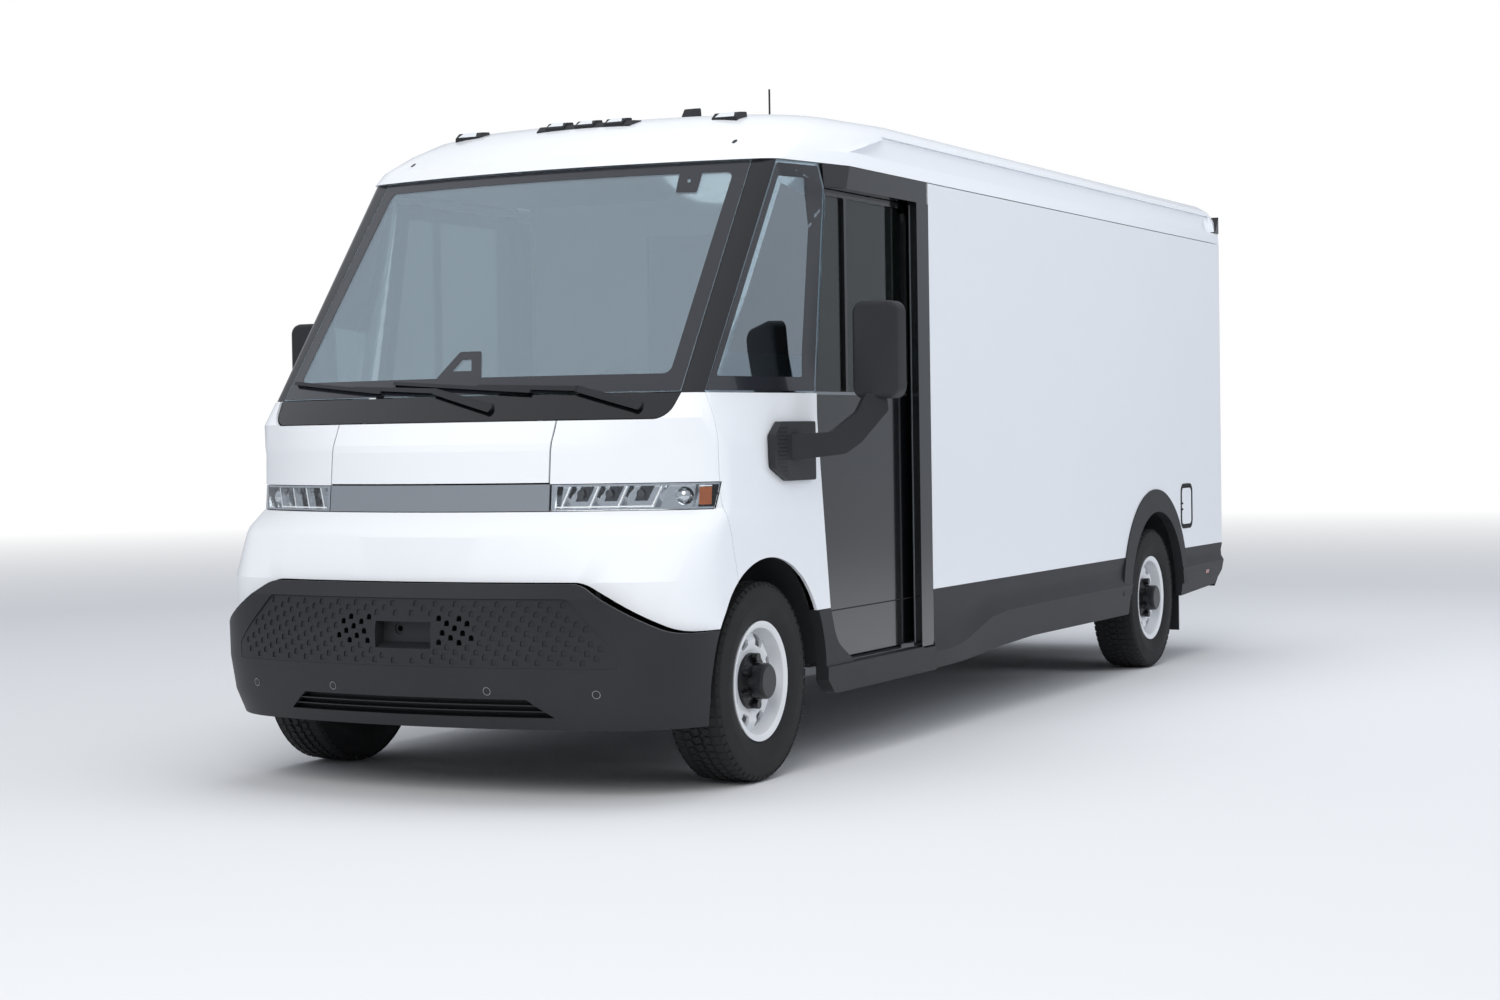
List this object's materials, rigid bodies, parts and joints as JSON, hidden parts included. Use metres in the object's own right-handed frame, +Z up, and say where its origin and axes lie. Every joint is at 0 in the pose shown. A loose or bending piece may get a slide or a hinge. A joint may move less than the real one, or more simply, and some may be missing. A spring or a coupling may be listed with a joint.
{
  "type": "electric delivery van",
  "caption": "Walk-in electric delivery van with sliding cab doors, lifting hood, charge flap, steered front wheels and a hollow cargo box.",
  "frame": {"origin": "on the ground, midway between the front and rear ends and the two sides", "axes": "+X to the van's left (driver's side), +Y to the rear, +Z up"},
  "size_m": [2.94, 6.7778, 2.732],
  "materials": {
    "battery_case": "bare cast aluminium",
    "black_plastic": "grained black plastic",
    "cast_metal": "cast",
    "clear_glass": "clear glass",
    "floor_grey": "grey non-slip floor",
    "frame_black": "satin black chassis paint",
    "gloss_black": "gloss black",
    "interior_dark": "dark grey soft plastic",
    "interior_grey": "light grey liner",
    "lamp_chrome": "bright lamp reflector",
    "mirror_glass": "mirror",
    "red_lens": "red lamp lens",
    "rubber_black": "black gasket",
    "satin_metal": "brushed satin silver",
    "seat_fabric": "black woven fabric",
    "tinted_glass": "tinted glass",
    "tyre": "black tyre rubber",
    "white_paint": "gloss white paint",
    "white_wheel": "white painted steel"
  },
  "bodies": {
    "body": {"step_wells": "floor_grey", "chassis_frame": "frame_black", "battery_pack": "battery_case", "floor": "floor_grey", "cab_frame": "frame_black", "side_panel_left": "white_paint", "side_panel_right": "white_paint", "pocket_liners": "interior_grey", "roof": "white_paint", "front_fascia": "white_paint", "fenders": "white_paint", "front_bumper": "black_plastic", "side_cladding": "black_plastic", "cab_trim": "gloss_black", "cowl_panel": "gloss_black", "windshield": "clear_glass", "quarter_glass": "tinted_glass", "light_bar": "satin_metal", "headlamps": "lamp_chrome", "headlamp_lenses": "clear_glass", "rear_portal": "white_paint", "rollup_door": "white_paint", "rear_bumper": "black_plastic", "tail_lamps": "red_lens", "mirrors": "black_plastic", "mirror_glass": "mirror_glass", "wipers": "black_plastic", "roof_lamps": "black_plastic", "charge_port": "rubber_black", "dashboard": "interior_dark", "steering_wheel": "interior_dark", "driver_seat": "seat_fabric", "bulkhead": "interior_grey", "wheel_liners": "black_plastic", "front_suspension": "frame_black", "rear_axle": "frame_black"},
    "knuckle_left": {"knuckle_left": "cast_metal"},
    "knuckle_right": {"knuckle_right": "cast_metal"},
    "wheel_front_left": {"wheel_front_left": "white_wheel", "tyre_front_left": "tyre"},
    "wheel_front_right": {"wheel_front_right": "white_wheel", "tyre_front_right": "tyre"},
    "wheel_rear_left": {"wheel_rear_left": "white_wheel", "tyre_rear_left": "tyre"},
    "wheel_rear_right": {"wheel_rear_right": "white_wheel", "tyre_rear_right": "tyre"},
    "door_left": {"door_left": "gloss_black", "door_glass_left": "tinted_glass"},
    "door_right": {"door_right": "gloss_black", "door_glass_right": "tinted_glass"},
    "hood": {"hood": "white_paint"},
    "charge_door": {"charge_door": "white_paint"}
  },
  "joints": [
    {"name": "steer_left", "type": "hinge", "parent": "body", "child": "knuckle_left", "pos_m": [0.74, -2.52, 0.37], "axis": [0, 0, 1], "range_deg": [-35, 35]},
    {"name": "steer_right", "type": "hinge", "parent": "body", "child": "knuckle_right", "pos_m": [-0.74, -2.52, 0.37], "axis": [0, 0, 1], "range_deg": [-35, 35]},
    {"name": "spin_front_left", "type": "hinge", "parent": "knuckle_left", "child": "wheel_front_left", "pos_m": [0.885, -2.52, 0.37], "axis": [1, 0, 0], "continuous": true},
    {"name": "spin_front_right", "type": "hinge", "parent": "knuckle_right", "child": "wheel_front_right", "pos_m": [-0.885, -2.52, 0.37], "axis": [1, 0, 0], "continuous": true},
    {"name": "spin_rear_left", "type": "hinge", "parent": "body", "child": "wheel_rear_left", "pos_m": [0.885, 2.14, 0.37], "axis": [1, 0, 0], "continuous": true},
    {"name": "spin_rear_right", "type": "hinge", "parent": "body", "child": "wheel_rear_right", "pos_m": [-0.885, 2.14, 0.37], "axis": [1, 0, 0], "continuous": true},
    {"name": "door_left_slide", "type": "slide", "parent": "body", "child": "door_left", "axis": [0, 1, 0], "range_m": [0, 0.86]},
    {"name": "door_right_slide", "type": "slide", "parent": "body", "child": "door_right", "axis": [0, 1, 0], "range_m": [0, 0.86]},
    {"name": "hood_lift", "type": "hinge", "parent": "body", "child": "hood", "pos_m": [0, -3.045, 1.33], "axis": [-1, 0, 0], "range_deg": [0, 45]},
    {"name": "charge_door_hinge", "type": "hinge", "parent": "body", "child": "charge_door", "pos_m": [1.032, 2.5585, 0.842], "axis": [0, 0, -1], "range_deg": [0, 90]}
  ],
  "couplings": [
    {"joint": "steer_right", "follows": "steer_left", "ratio": 1}
  ]
}
